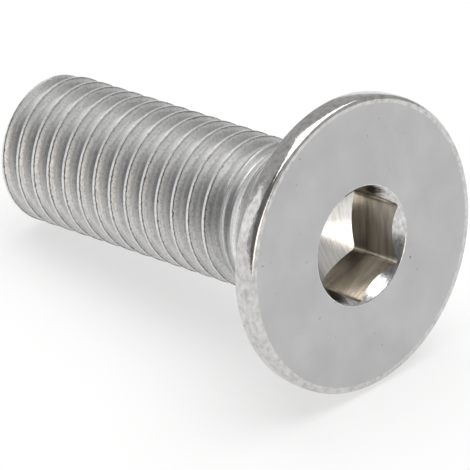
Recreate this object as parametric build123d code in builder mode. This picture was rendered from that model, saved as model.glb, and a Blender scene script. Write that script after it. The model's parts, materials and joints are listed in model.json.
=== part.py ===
from build123d import *
import math
import os

# Countersunk socket screw, M12 x 35, as one solid lying at rest on its head and its shank's end.
# The head's flat face is centred on the origin. The axis runs from the tip up to the head, in the
# XZ plane, and leans as far as it must for the rim and the shank to meet the floor together.
# Lengths along the axis are measured from the head's flat face, and angles round it from +Y.

# Shank, as wide as its thread's crests
thread_diameter = 12.0
crest_clearance = 0.07  # radial allowance below the nominal diameter
screw_length = 35.0  # head's flat face to tip
tip_chamfer = 0.8

# Head
head_diameter = 23.4
rim_height = 1.74
countersink_angle = 90.0
face_edge_break = 0.12
neck_fillet = 0.6  # where the cone meets the shank

# Hexagon socket
socket_sides = 6
socket_across_flats = 8.05
socket_corner_fillet = 0.5
socket_depth = 4.9  # at the corners
socket_floor_angle = 120.0
socket_mouth_diameter = 9.45
socket_mouth_angle = 80.0
socket_turn = 20.5  # angle of one corner
cutter_overlap = 0.5  # how far each cutter's cone runs on past what it cuts

# Head and shank sizes that follow
crest_radius = thread_diameter / 2 - crest_clearance
head_radius = head_diameter / 2
cone_height = (head_radius - crest_radius) / math.tan(math.radians(countersink_angle / 2))
head_height = rim_height + cone_height
shank_end = screw_length - tip_chamfer  # where the tip's chamfer starts

# Rest: the line from the rim's lower edge to the shank's end, under the axis, is level
lean = math.atan2(head_radius - crest_radius, shank_end - rim_height)

face = Plane(
    origin=(0, 0, 0),
    x_dir=(0, 1, 0),
    z_dir=(math.cos(lean), 0, math.sin(lean)),
)
section = Plane(origin=face.origin, x_dir=face.x_dir, z_dir=-face.y_dir)
hexagon = Plane(face.location * Rot(Z=socket_turn))
screw_axis = Axis(face.origin, face.z_dir)

# The broached hexagon with its drilled floor and countersunk mouth, as one cutter
socket_flat_radius = socket_across_flats / 2
socket_corner_radius = socket_corner_fillet + (
    (socket_flat_radius - socket_corner_fillet) / math.cos(math.pi / socket_sides)
)
floor_slope = 1 / math.tan(math.radians(socket_floor_angle / 2))
floor_depth = socket_depth + floor_slope * socket_corner_radius
floor_outer_radius = socket_corner_radius + cutter_overlap
floor_outer_depth = socket_depth - floor_slope * cutter_overlap
mouth_radius = socket_mouth_diameter / 2
mouth_inner_radius = socket_flat_radius - cutter_overlap
mouth_depth = (mouth_radius - mouth_inner_radius) / math.tan(math.radians(socket_mouth_angle / 2))

with BuildPart() as socket:
    with BuildSketch(hexagon) as socket_outline:
        RegularPolygon(socket_flat_radius, side_count=socket_sides, major_radius=False)
        fillet(socket_outline.vertices(), socket_corner_fillet)
    extrude(amount=-floor_depth)
    with BuildSketch(section):
        with BuildLine():
            Polyline(
                (0, 0),
                (floor_outer_radius, 0),
                (floor_outer_radius, -floor_outer_depth),
                (0, -floor_depth),
                close=True,
            )
        make_face()
    revolve(axis=screw_axis, mode=Mode.INTERSECT)
    with BuildSketch(section):
        with BuildLine():
            Polyline(
                (0, 0),
                (mouth_radius, 0),
                (mouth_inner_radius, -mouth_depth),
                (0, -mouth_depth),
                close=True,
            )
        make_face()
    revolve(axis=screw_axis)

with BuildPart() as screw:
    # Forged blank: rim, cone, shank and chamfered tip
    neck = (crest_radius, -head_height)
    with BuildSketch(section) as half_blank:
        with BuildLine():
            Polyline(
                (0, 0),
                (head_radius, 0),
                (head_radius, -rim_height),
                neck,
                (crest_radius, -shank_end),
                (crest_radius - tip_chamfer, -screw_length),
                (0, -screw_length),
                close=True,
            )
        make_face()
        fillet(half_blank.vertices().sort_by_distance(neck)[0], neck_fillet)
    revolve(axis=screw_axis)
    face_edge = screw.edges().filter_by(GeomType.CIRCLE).sort_by(screw_axis)[-1]
    chamfer(face_edge, face_edge_break)
    add(socket.part, mode=Mode.SUBTRACT)

os.makedirs("parts", exist_ok=True)
screw.part.label = "screw"
export_step(screw.part, "parts/screw.step")
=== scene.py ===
import json
import math
import bpy
import numpy as np
from mathutils import Matrix, Vector


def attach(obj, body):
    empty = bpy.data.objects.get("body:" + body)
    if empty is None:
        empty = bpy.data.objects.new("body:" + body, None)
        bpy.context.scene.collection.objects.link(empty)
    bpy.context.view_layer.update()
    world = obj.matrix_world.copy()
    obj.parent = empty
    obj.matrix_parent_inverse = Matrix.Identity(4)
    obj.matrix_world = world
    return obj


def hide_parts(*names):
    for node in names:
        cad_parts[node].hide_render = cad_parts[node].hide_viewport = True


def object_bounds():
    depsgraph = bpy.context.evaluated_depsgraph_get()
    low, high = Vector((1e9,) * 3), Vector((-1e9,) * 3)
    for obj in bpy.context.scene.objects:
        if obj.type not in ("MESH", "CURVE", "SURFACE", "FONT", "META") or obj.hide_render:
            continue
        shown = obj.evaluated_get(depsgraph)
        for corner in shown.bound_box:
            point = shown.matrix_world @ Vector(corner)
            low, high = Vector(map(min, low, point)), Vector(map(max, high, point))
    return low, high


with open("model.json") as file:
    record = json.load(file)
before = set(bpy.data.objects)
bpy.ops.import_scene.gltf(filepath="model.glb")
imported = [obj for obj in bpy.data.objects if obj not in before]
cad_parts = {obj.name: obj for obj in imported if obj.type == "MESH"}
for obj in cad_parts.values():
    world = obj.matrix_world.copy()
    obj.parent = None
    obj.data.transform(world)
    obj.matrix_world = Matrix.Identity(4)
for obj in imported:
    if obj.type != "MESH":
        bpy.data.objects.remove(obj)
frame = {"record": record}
cad_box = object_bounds()

# Screw: one piece of austenitic stainless steel. Wire is cold-headed into a flat countersunk
# head, the hexagon socket is punched into it, the thread is rolled between flat dies, and the
# whole screw is pickled and tumbled bright.
MM = 0.001  # in metres: the sizes below are in millimetres
mounts = {mount["name"]: mount for mount in frame["record"]["mounts"]}
screw_axis = np.array(mounts["head_face"]["axis"])
side_axis = np.array((0.0, 1.0, 0.0))
up_axis = np.cross(screw_axis, side_axis)
lean = math.asin(screw_axis[2])

head_radius = mounts["head_rim"]["dims"]["r_mm"]
crest_radius = mounts["shank"]["dims"]["r_mm"]
screw_length = math.dist(mounts["tip_face"]["pos_m"], (0, 0, 0)) / MM
rim_height = 1.74
rim_bulge = 0.08
face_edge_round = 0.32
rim_edge_round = 0.2
neck_round = 0.6
face_middle = 8
face_margins = (0.1, 0.6)  # from the mouth and from the rim
barrel_margins = (0.3, 0.2)  # from the face and from the seat
barrel_rings = 7
seat_margins = (0.5, 0.6)  # from the rim and from the neck

socket_flat_radius = 4.025
socket_corner_round = 0.5
socket_turn = math.radians(20.5)
socket_depth = 4.9
socket_floor_slope = 1 / math.tan(math.radians(60))
mouth_radius = 4.725
mouth_slope = 1 / math.tan(math.radians(40))
mouth_edge_round = 0.12

pitch = 1.75
flank_slope = math.tan(math.radians(30))
root_radius = 4.93
root_half_width = 0.146
root_round = 0.08
crest_half_width = 0.11
crest_round = 0.05
thread_turn = math.radians(150.7)
neck_gap = 0.3  # between the neck and the thread's first row
run_out_turns = 1.2
run_out_climb = 1.15 * (crest_radius - root_radius)
least_groove_half_width = 0.2
tip_gap = 0.05  # between the thread's last row and the end face
tip_chamfer = 0.82
tip_edge_round = 0.15

columns = 216
angle = socket_turn + np.arange(columns) * 2 * math.pi / columns


def hexagon_radius(angle):
    """Distance from the axis to a hexagon with rounded corners: a flat's distance over the cosine
    of the angle from its middle, and near a corner the far side of the corner's circle."""
    from_flat = (angle - socket_turn) % (math.pi / 3) - math.pi / 6
    from_corner = math.pi / 6 - np.abs(from_flat)
    centre = (socket_flat_radius - socket_corner_round) / math.cos(math.pi / 6)
    inside = np.maximum(socket_corner_round**2 - (centre * np.sin(from_corner)) ** 2, 0)
    flat_end = (1 - socket_corner_round / socket_flat_radius) * math.tan(math.pi / 6)
    return np.where(
        np.abs(np.tan(from_flat)) < flat_end,
        socket_flat_radius / np.cos(from_flat),
        centre * np.cos(from_corner) + np.sqrt(inside),
    )


def rounded(before, corner, after, radius, steps=4):
    """Points along the arc that rounds off a profile's corner: it touches the lines to the points
    before and after, and its middle is radius / sin(half the angle) from the corner."""
    before, corner, after = np.array(before), np.array(corner), np.array(after)
    into = (before - corner) / np.linalg.norm(before - corner)
    out = (after - corner) / np.linalg.norm(after - corner)
    half = math.acos(into @ out) / 2
    middle = corner + (into + out) / np.linalg.norm(into + out) * radius / math.sin(half)
    start = corner + into * radius / math.tan(half) - middle
    end = corner + out * radius / math.tan(half) - middle
    turn = math.pi - 2 * half
    share = np.linspace(0, 1, steps + 1)[:, None]
    arc = (np.sin((1 - share) * turn) * start + np.sin(share * turn) * end) / math.sin(turn)
    return (middle + arc).tolist()


def softer_min(a, b, reach):
    """The smaller of a and b, with a parabola where they are within reach of each other: the
    share of a goes from 0 to 1 as b goes from reach below a to reach above it, and the mean by
    share comes down by reach times the share of a times the share of b."""
    share = np.clip(0.5 + (b - a) / (2 * reach), 0, 1)
    return b + (a - b) * share - reach * share * (1 - share)


# The mesh is a grid of rows round the axis, from the socket's floor out over the head, down the
# shank and in to the middle of the tip. Rows lie close together beside an edge, which keeps it
# crisp. Socket rows: its conical floor, its walls, and its countersunk mouth with a rounded edge.
hexagon = hexagon_radius(angle)
floor_edge = socket_depth + (hexagon.max() - hexagon) * socket_floor_slope
floor_middle = socket_depth + hexagon.max() * socket_floor_slope
wall_top = (mouth_radius - hexagon) * mouth_slope
share = np.array((0, 0.02, 0.25, 0.5, 0.75, 0.9, 0.97, 1))[:, None]
floor_rows = hexagon * share, floor_middle + (floor_edge - floor_middle) * share
share = np.array((0.01, 0.04, 0.3, 0.6, 0.9, 0.98, 1))[:, None]
wall_rows = hexagon + 0 * share, floor_edge + (wall_top - floor_edge) * share
share = np.array((0.03, 0.3, 0.6))[:, None]
mouth_radii = hexagon + (mouth_radius - hexagon) * share
mouth_depths = wall_top * (1 - share)
mouth_foot = (socket_flat_radius, (mouth_radius - socket_flat_radius) * mouth_slope)
mouth_edge = rounded(mouth_foot, (mouth_radius, 0), (head_radius, 0), mouth_edge_round)
mouth_edge = np.array(mouth_edge)[:, :, None] + 0 * angle
mouth_radii = np.vstack((mouth_radii, mouth_edge[:, 0]))
mouth_depths = np.vstack((mouth_depths, mouth_edge[:, 1]))
mouth_rows = mouth_radii, mouth_depths

# Head rows: the flat face, the slightly barrelled rim with rounded edges, the seat and the neck
head_height = rim_height + head_radius - crest_radius
thread_start = head_height + neck_gap
rim_end = head_radius - rim_bulge
barrel = np.linspace(barrel_margins[0], rim_height - barrel_margins[1], barrel_rings)
barrel_radius = head_radius - rim_bulge * (2 * barrel / rim_height - 1) ** 2
barrel_rows = np.column_stack((barrel_radius, barrel)).tolist()
seat_top = (rim_end, rim_height + rim_bulge)
neck = (crest_radius, head_height)
face_profile = [
    (mouth_radius + face_margins[0], 0),
    (face_middle, 0),
    (head_radius - face_margins[1], 0),
]
rim_profile = rounded((0, 0), (rim_end, 0), barrel_rows[0], face_edge_round) + barrel_rows[1:]
rim_profile += rounded(barrel_rows[-1], seat_top, neck, rim_edge_round)
seat_profile = [
    (head_radius - seat_margins[0], rim_height + seat_margins[0]),
    (crest_radius + seat_margins[1], head_height - seat_margins[1]),
]
seat_profile += rounded(seat_top, neck, (crest_radius, screw_length), neck_round)
face_rows, rim_rows, seat_rows = [
    [np.array(part)[:, None] + 0 * angle for part in zip(*profile)]
    for profile in (face_profile, rim_profile, seat_profile)
]

# Thread rows: each follows the helix, and their places are counted from a groove's middle
groove_half_width = pitch / 2 - crest_half_width
half_row = (0.0, 0.07, 0.12, 0.17, 0.22, 0.34, 0.46, 0.58, 0.67, 0.70, 0.725, 0.75, 0.79)
half_row = np.array(half_row)
row_place = np.concatenate((half_row, pitch - half_row[:0:-1]))
rows_per_turn = len(row_place)
turns = math.ceil((screw_length - thread_start) / pitch) + 2
first_groove = screw_length - pitch * (angle[0] - thread_turn) / (2 * math.pi)
first_groove -= pitch * math.ceil((first_groove - thread_start) / pitch)


def run_out(centre):
    """How far a groove's floor has climbed: nothing over most of the shank, then evenly up past
    the crests over the last turns before the neck, where the dies end."""
    share = np.clip(1 - (centre - thread_start) / (run_out_turns * pitch), 0, 1)
    return run_out_climb * share


def thread_radius(depth, angle):
    """Distance from the axis to the thread: 30 degree flanks rise from each groove's floor to the
    crests, with both corners rounded. The groove's centre moves one pitch a turn towards the
    head, and the tip's cone cuts the last crests."""
    centre = first_groove - pitch * (angle - angle[0]) / (2 * math.pi)
    centre = centre + np.round((depth - centre) / pitch) * pitch
    groove_floor = root_radius + run_out(centre)
    flank = groove_floor + (np.abs(depth - centre) - root_half_width) / flank_slope
    surface = softer_min(-softer_min(-flank, -groove_floor, root_round), crest_radius, crest_round)
    tip_cone = crest_radius - tip_chamfer + screw_length - depth
    return softer_min(surface, tip_cone, tip_edge_round)


turn_of_row = np.repeat(np.arange(turns), rows_per_turn)[:, None]
place = np.tile(row_place, turns)[:, None]
centre = first_groove + pitch * turn_of_row - pitch * (angle - angle[0]) / (2 * math.pi)
half_width = np.maximum(groove_half_width - run_out(centre) * flank_slope, least_groove_half_width)
from_centre = np.minimum(place, pitch - place)
stretched = np.where(
    from_centre < groove_half_width,
    from_centre * half_width / groove_half_width,
    half_width + (from_centre - groove_half_width) * (pitch / 2 - half_width) / crest_half_width,
)
thread_depth = centre + np.where(place < pitch / 2, stretched, pitch - stretched)
thread_depth = np.clip(thread_depth, thread_start, screw_length - tip_gap)
thread_rows = thread_radius(thread_depth, angle), thread_depth

# Tip rows: the end face, closed at the middle
share = np.array((1, 0.995, 0.98, 0.6, 0))[:, None]
tip_rows = (crest_radius - tip_chamfer) * share + 0 * angle, screw_length + 0 * share + 0 * angle

sections = (
    floor_rows, wall_rows, mouth_rows, face_rows, rim_rows, seat_rows, thread_rows, tip_rows
)
thread_section = 6  # counted from 0
radius = np.concatenate([section[0] for section in sections])
depth = np.concatenate([section[1] for section in sections])
section_of_row = np.repeat(np.arange(len(sections)), [len(section[0]) for section in sections])
points = MM * (
    (radius * np.cos(angle))[..., None] * side_axis
    + (radius * np.sin(angle))[..., None] * up_axis
    - depth[..., None] * screw_axis
)

# Each face joins two rows and two columns. Where a thread row comes round to the first column, it
# goes on as the row of the turn before. Corners at one place become one vertex.
row = np.arange(len(radius))
on_thread = section_of_row == thread_section
first_thread_row = np.argmax(on_thread)
row_before = np.maximum(row - rows_per_turn, first_thread_row - 1)
next_row = np.where(on_thread, row_before, row)
grid = row[:, None] * columns + np.arange(columns)
grid = np.hstack((grid, (next_row * columns)[:, None]))
corners = np.stack((grid[:-1, :-1], grid[1:, :-1], grid[1:, 1:], grid[:-1, 1:]), axis=-1)
same_place = 0.0002 * MM
key = np.round(points.reshape(-1, 3) / same_place).astype(np.int64)
first_use, vertex_of = np.unique(key, axis=0, return_index=True, return_inverse=True)[1:]
corners = vertex_of.reshape(-1)[corners.reshape(-1, 4)]
kept = corners != np.roll(corners, 1, axis=1)
corner_count = kept.sum(axis=1)
whole = corner_count > 2
corner_count = corner_count[whole]
finish_of_face = np.repeat(section_of_row[1:], columns)[whole]

screw_mesh = bpy.data.meshes.new("screw")
screw_mesh.vertices.add(len(first_use))
screw_mesh.vertices.foreach_set("co", points.reshape(-1, 3)[first_use].ravel())
screw_mesh.loops.add(corner_count.sum())
screw_mesh.loops.foreach_set("vertex_index", corners[whole][kept[whole]])
screw_mesh.polygons.add(len(corner_count))
loop_start = np.cumsum(corner_count) - corner_count
screw_mesh.polygons.foreach_set("loop_start", loop_start)
screw_mesh.polygons.foreach_set("material_index", finish_of_face)
screw_mesh.polygons.foreach_set("use_smooth", np.ones(len(corner_count), bool))
screw_mesh.update(calc_edges=True)
sharp_edge = math.radians(40)
screw_mesh.set_sharp_from_angle(angle=sharp_edge)
screw = bpy.data.objects.new("screw_body", screw_mesh)
bpy.context.scene.collection.objects.link(screw)
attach(screw, "root")
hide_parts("screw")


def linear(hex_colour):
    """A hex sRGB colour as linear RGBA: each channel is c / 12.92 up to 0.04045, and
    ((c + 0.055) / 1.055) to the power 2.4 above."""
    channels = [int(hex_colour[i : i + 2], 16) / 255 for i in (1, 3, 5)]
    return [c / 12.92 if c <= 0.04045 else ((c + 0.055) / 1.055) ** 2.4 for c in channels] + [1]


def add_node(tree, kind, sockets, stops=(), **settings):
    """Adds a node, makes its settings, and fills its sockets with values or links. The stops are
    a colour ramp's settings: each is a place from 0 to 1 and a hex colour."""
    node = tree.nodes.new(kind)
    for name, value in settings.items():
        setattr(node, name, value)
    if stops:
        elements = node.color_ramp.elements
        elements[0].position, elements[1].position = stops[0][0], stops[-1][0]
        for position, colour in stops[1:-1]:
            elements.new(position)
        for element, (position, colour) in zip(elements, stops):
            element.color = linear(colour)
    for socket, value in sockets.items():
        if isinstance(value, bpy.types.NodeSocket):
            tree.links.new(value, node.inputs[socket])
        else:
            node.inputs[socket].default_value = value
    return node


def steel_finish(name, roughness):
    """A metal material with its shader, and Object coordinates in mm turned to run along the
    screw's axis (x), across it (y) and up from it (z)."""
    finish = bpy.data.materials.new(name)
    finish.use_nodes = True
    tree = finish.node_tree
    shader = tree.nodes["Principled BSDF"]
    shader.inputs["Metallic"].default_value = 1
    shader.inputs["Roughness"].default_value = roughness
    coordinates = add_node(tree, "ShaderNodeTexCoord", {})
    place = add_node(
        tree,
        "ShaderNodeMapping",
        {
            "Vector": coordinates.outputs["Object"],
            "Rotation": (0, lean, 0),
            "Scale": (1 / MM, 1 / MM, 1 / MM),
        },
    )
    screw_mesh.materials.append(finish)
    return tree, shader, place.outputs["Vector"]


def grained_finish(name, roughness, grain_per_mm, stops, dent_mm, detail=3):
    """A steel finish with a grain: noise that has its own number of waves to the mm along, across
    and up from the axis. The grain colours the metal by the stops and dents it by dent_mm."""
    tree, shader, place = steel_finish(name, roughness)
    stretched = add_node(
        tree, "ShaderNodeVectorMath", {0: place, 1: grain_per_mm}, operation="MULTIPLY"
    )
    grain = add_node(
        tree,
        "ShaderNodeTexNoise",
        {"Vector": stretched.outputs["Vector"], "Scale": 1, "Detail": detail},
    )
    metal = add_node(tree, "ShaderNodeValToRGB", {"Fac": grain.outputs["Fac"]}, stops)
    tree.links.new(metal.outputs["Color"], shader.inputs["Base Color"])
    dents = add_node(
        tree, "ShaderNodeBump", {"Height": grain.outputs["Fac"], "Distance": dent_mm * MM}
    )
    tree.links.new(dents.outputs["Normal"], shader.inputs["Normal"])


# The punch's point strikes the socket's floor bright, and wipes faint lines up across it. They
# are drawn about 0.2 mm apart so that they can be seen.
grained_finish(
    "struck_stainless_steel",
    roughness=0.2,
    grain_per_mm=(0.5, 4.5, 0.6),
    stops=((0.3, "#D3CFC9"), (0.5, "#E4E2DE"), (0.7, "#EDECEA")),
    dent_mm=0.003,
)

# The punch leaves the socket's walls straw-brown from its heat and oil, with faint bands across
# the stroke where it dragged. They are drawn about 0.4 mm apart so that they can be seen.
grained_finish(
    "punched_stainless_steel",
    roughness=0.2,
    grain_per_mm=(2.6, 0.4, 0.4),
    stops=((0.3, "#ACA59B"), (0.5, "#BFB9B0"), (0.7, "#CCC8C1")),
    dent_mm=0.005,
)

# The mouth is cut with a turning tool, which leaves it mirror-bright with fine scratches. They
# are drawn about 0.2 mm apart so that they can be seen.
grained_finish(
    "turned_stainless_steel",
    roughness=0.16,
    grain_per_mm=(5, 2.2, 2.2),
    stops=((0.3, "#B9B8B8"), (0.55, "#D3D2D1"), (0.7, "#E0DFDE")),
    dent_mm=0.015,
    detail=4,
)

# The face is satin from pickling and tumbling: faintly clouded every 3 mm or so, with a few dark
# pits under half a mm wide.
tree, shader, place = steel_finish("tumbled_stainless_steel", 0.36)
clouding = add_node(tree, "ShaderNodeTexNoise", {"Vector": place, "Scale": 0.3, "Detail": 8})
clouds = add_node(
    tree,
    "ShaderNodeMapRange",
    {
        "Value": clouding.outputs["Fac"],
        "From Min": 0.3,
        "From Max": 0.7,
        "To Min": 0.88,
        "To Max": 1.0,
    },
)
pitting = add_node(tree, "ShaderNodeTexNoise", {"Vector": place, "Scale": 2.2, "Detail": 2})
pits = add_node(
    tree,
    "ShaderNodeMapRange",
    {
        "Value": pitting.outputs["Fac"],
        "From Min": 0.23,
        "From Max": 0.28,
        "To Min": 0.55,
        "To Max": 0.97,
    },
)
worn = add_node(
    tree,
    "ShaderNodeMath",
    {0: clouds.outputs["Result"], 1: pits.outputs["Result"]},
    operation="MULTIPLY",
)
metal = add_node(
    tree,
    "ShaderNodeValToRGB",
    {"Fac": worn.outputs["Value"]},
    ((0.45, "#6E6D6C"), (0.85, "#B7B6B7"), (1, "#C4C4C5")),
)
tree.links.new(metal.outputs["Color"], shader.inputs["Base Color"])
dents = add_node(
    tree, "ShaderNodeBump", {"Height": pits.outputs["Result"], "Distance": 0.004 * MM}
)
tree.links.new(dents.outputs["Normal"], shader.inputs["Normal"])

# The rim stays bright from the heading die, with dents about half a mm apart where the screws
# knocked together.
grained_finish(
    "knocked_stainless_steel",
    roughness=0.12,
    grain_per_mm=(2.4, 1.9, 1.9),
    stops=((0.32, "#B7B4B2"), (0.5, "#C9C8C6"), (0.68, "#D4D3D2")),
    dent_mm=0.017,
    detail=4,
)

# The seat is smooth from the heading die, with faint rings round it, drawn about 0.25 mm apart so
# that they can be seen.
grained_finish(
    "headed_stainless_steel",
    roughness=0.2,
    grain_per_mm=(4, 0.3, 0.3),
    stops=((0.3, "#BFBDBC"), (0.7, "#CBCAC9")),
    dent_mm=0.005,
)

# The dies roll the flanks from root to crest, and leave fine streaks that run round with the
# thread. Across the thread the colour holds a painted highlight on each crest, a dark line beside
# it on the head side, and painted shade that deepens down the flanks from the crests to the roots.
# The streaks are drawn about 0.1 mm apart so that they can be seen. Places across the thread are
# counted in pitches from each crest, along the axis towards the tip.
tree, shader, place = steel_finish("rolled_stainless_steel_painted_light", 0.43)
count_start = 0.465  # on the head side of a crest
# How far the painted crest highlight, the dark line beside it and the painted shade on the flanks
# wander across the thread, in pitches
seam_wander = 0.1
streaks_per_pitch = 18
crest_turns = screw_length / pitch + thread_turn / (2 * math.pi) + 0.5
part = add_node(tree, "ShaderNodeSeparateXYZ", {"Vector": place})
round_axis = add_node(
    tree,
    "ShaderNodeMath",
    {0: part.outputs["Z"], 1: part.outputs["Y"]},
    operation="ARCTAN2",
)
turns_round = add_node(
    tree,
    "ShaderNodeMath",
    {0: round_axis.outputs["Value"], 1: 1 / (2 * math.pi), 2: -crest_turns},
    operation="MULTIPLY_ADD",
)
turns_along = add_node(
    tree,
    "ShaderNodeMath",
    {0: part.outputs["X"], 1: -1 / pitch, 2: turns_round.outputs["Value"]},
    operation="MULTIPLY_ADD",
)
waviness = add_node(tree, "ShaderNodeTexNoise", {"Vector": place, "Scale": 5, "Detail": 3})
wavy = add_node(
    tree,
    "ShaderNodeMath",
    {0: waviness.outputs["Fac"], 1: seam_wander, 2: turns_along.outputs["Value"]},
    operation="MULTIPLY_ADD",
)
from_crest = add_node(
    tree,
    "ShaderNodeMath",
    {0: wavy.outputs["Value"], 1: 1 - count_start, 2: -count_start},
    operation="WRAP",
)
along_thread = add_node(
    tree,
    "ShaderNodeCombineXYZ",
    {"X": from_crest.outputs["Value"], "Y": part.outputs["Y"], "Z": part.outputs["Z"]},
)
drawn_out = add_node(
    tree,
    "ShaderNodeVectorMath",
    {0: along_thread.outputs["Vector"], 1: (streaks_per_pitch, 0.3, 0.3)},
    operation="MULTIPLY",
)
streaks = add_node(
    tree,
    "ShaderNodeTexNoise",
    {"Vector": drawn_out.outputs["Vector"], "Scale": 1, "Detail": 3},
)
across_thread = add_node(
    tree,
    "ShaderNodeMath",
    {0: from_crest.outputs["Value"], 1: count_start},
    operation="ADD",
)
# Painted highlight on each crest, a dark line beside it on the head side, and painted light on the
# flanks near the crests that fades to painted shade in the roots
metal = add_node(
    tree,
    "ShaderNodeValToRGB",
    {"Fac": across_thread.outputs["Value"]},
    (
        (0, "#D0D0D0"),
        (0.18, "#D0D0D0"),
        (0.3, "#DEDDDD"),
        (0.4, "#E6E5E4"),
        (0.42, "#8C8A89"),
        (0.45, "#8C8A89"),
        (0.465, "#F6F6F5"),
        (0.53, "#F6F6F5"),
        (1, "#D0D0D0"),
    ),
)
streak_shade = add_node(
    tree,
    "ShaderNodeMapRange",
    {
        "Value": streaks.outputs["Fac"],
        "From Min": 0.35,
        "From Max": 0.62,
        "To Min": 0.72,
        "To Max": 1.05,
    },
)
smudges = add_node(
    tree,
    "ShaderNodeMapRange",
    {
        "Value": waviness.outputs["Fac"],
        "From Min": 0.38,
        "From Max": 0.52,
        "To Min": 0.86,
        "To Max": 1.0,
    },
)
shade = add_node(
    tree,
    "ShaderNodeMath",
    {0: streak_shade.outputs["Result"], 1: smudges.outputs["Result"]},
    operation="MULTIPLY",
)
streaked = add_node(
    tree,
    "ShaderNodeVectorMath",
    {0: metal.outputs["Color"], "Scale": shade.outputs["Value"]},
    operation="SCALE",
)
tree.links.new(streaked.outputs["Vector"], shader.inputs["Base Color"])
dents = add_node(
    tree, "ShaderNodeBump", {"Height": streaks.outputs["Fac"], "Distance": 0.012 * MM}
)
tree.links.new(dents.outputs["Normal"], shader.inputs["Normal"])

# The tip is sheared from the wire: torn dull in lines across its face, about 0.25 mm apart.
grained_finish(
    "sheared_stainless_steel",
    roughness=0.42,
    grain_per_mm=(0.5, 4, 0.5),
    stops=((0.3, "#A6A5A3"), (0.7, "#C0BFBD")),
    dent_mm=0.015,
    detail=5,
)

# Floor: a sheet of matt white paper, wide enough to fill every view and all that the steel
# mirrors. The eye and the steel see it a little whiter than it's lit, and it keeps the screw's
# shadow.
floor_half_width = 1.5
paper_glow = 0.6
floor_height = min(corner[2] for corner in cad_box)
floor_mesh = bpy.data.meshes.new("floor")
floor_corners = floor_half_width * np.array(((-1, -1), (1, -1), (1, 1), (-1, 1)))
floor_corners = np.column_stack((floor_corners, np.full(4, floor_height)))
floor_mesh.from_pydata(floor_corners.tolist(), [], [(0, 1, 2, 3)])
floor = bpy.data.objects.new("floor", floor_mesh)
bpy.context.scene.collection.objects.link(floor)
paper = bpy.data.materials.new("matt_white_paper")
paper.use_nodes = True
paper_shader = paper.node_tree.nodes["Principled BSDF"]
paper_shader.inputs["Base Color"].default_value = linear("#FBFBFB")
paper_shader.inputs["Roughness"].default_value = 1
paper_shader.inputs["Specular IOR Level"].default_value = 0
ray = add_node(paper.node_tree, "ShaderNodeLightPath", {})
seen = add_node(
    paper.node_tree,
    "ShaderNodeMath",
    {0: ray.outputs["Is Camera Ray"], 1: ray.outputs["Is Glossy Ray"]},
    operation="ADD",
)
glow = add_node(
    paper.node_tree,
    "ShaderNodeMath",
    {0: seen.outputs["Value"], 1: paper_glow},
    operation="MULTIPLY",
)
white = add_node(paper.node_tree, "ShaderNodeEmission", {"Strength": 1})
lit = add_node(
    paper.node_tree,
    "ShaderNodeMixShader",
    {0: glow.outputs["Value"], 1: paper_shader.outputs["BSDF"], 2: white.outputs["Emission"]},
)
paper.node_tree.links.new(
    lit.outputs["Shader"], paper.node_tree.nodes["Material Output"].inputs["Surface"]
)
floor_mesh.materials.append(paper)

# Studio: a tent of white cloth, dimly lit, with a darker gap above the camera and to its left.
# A large softbox hangs overhead, a dim one stands on the left, and a bright, warm one stands low
# on the right.
wall_radiance, gap_radiance = 0.48, 0.18
gap_edge = (0.68, 0.78)  # cosines of the angle from its middle
tent = bpy.data.worlds.new("white_tent")
tent.use_nodes = True
bpy.context.scene.world = tent
tree = tent.node_tree
towards = add_node(tree, "ShaderNodeTexCoord", {})
gap_direction = Vector((0.067, -0.763, 0.643))
dark_side = add_node(
    tree,
    "ShaderNodeVectorMath",
    {0: towards.outputs["Generated"], 1: gap_direction},
    operation="DOT_PRODUCT",
)
wall = add_node(
    tree,
    "ShaderNodeMapRange",
    {
        "Value": dark_side.outputs["Value"],
        "From Min": gap_edge[0],
        "From Max": gap_edge[1],
        "To Min": wall_radiance,
        "To Max": gap_radiance,
    },
    interpolation_type="SMOOTHSTEP",
)
tree.links.new(wall.outputs["Result"], tree.nodes["Background"].inputs["Strength"])
tree.nodes["Background"].inputs["Color"].default_value = (1, 1, 1, 1)


def softbox(name, azimuth, elevation, distance, width, height, radiance, colour="#FFFFFF"):
    """An area lamp that faces the screw from a direction in degrees. Its power is its radiance
    times pi times its area."""
    lamp = bpy.data.lights.new(name, "AREA")
    lamp.shape = "RECTANGLE"
    lamp.size = width
    lamp.size_y = height
    lamp.energy = radiance * math.pi * width * height
    lamp.color = linear(colour)[:3]
    away = Matrix.Rotation(math.radians(azimuth), 3, "Z") @ Matrix.Rotation(
        -math.radians(elevation), 3, "Y"
    ) @ Vector((1, 0, 0))
    holder = bpy.data.objects.new(name, lamp)
    holder.location = distance * away
    holder.rotation_euler = away.to_track_quat("Z", "Y").to_euler()
    bpy.context.scene.collection.objects.link(holder)


softbox(
    "overhead_softbox",
    azimuth=135,
    elevation=80,
    distance=0.7,
    width=0.85,
    height=0.85,
    radiance=2.1,
)
softbox(
    "left_softbox",
    azimuth=-144,
    elevation=10,
    distance=0.8,
    width=0.3,
    height=0.5,
    radiance=0.7,
)
softbox(
    "right_softbox",
    azimuth=-14,
    elevation=8,
    distance=0.6,
    width=0.42,
    height=0.26,
    radiance=1.9,
    colour="#FFF4E6",
)

# Camera: a long lens, held level, that looks down at the head from its right.
camera_data = bpy.data.cameras.new("camera")
camera_data.sensor_width = 36
camera_data.lens = 570.23
camera_data.clip_end = 10
camera = bpy.data.objects.new("camera", camera_data)
camera.location = Vector((330.701, -341.754, 303.502)) * MM
camera.rotation_euler = (math.radians(57.53), 0, math.radians(45.22))
bpy.context.scene.collection.objects.link(camera)
bpy.context.scene.camera = camera
bpy.context.scene.view_settings.view_transform = "Standard"
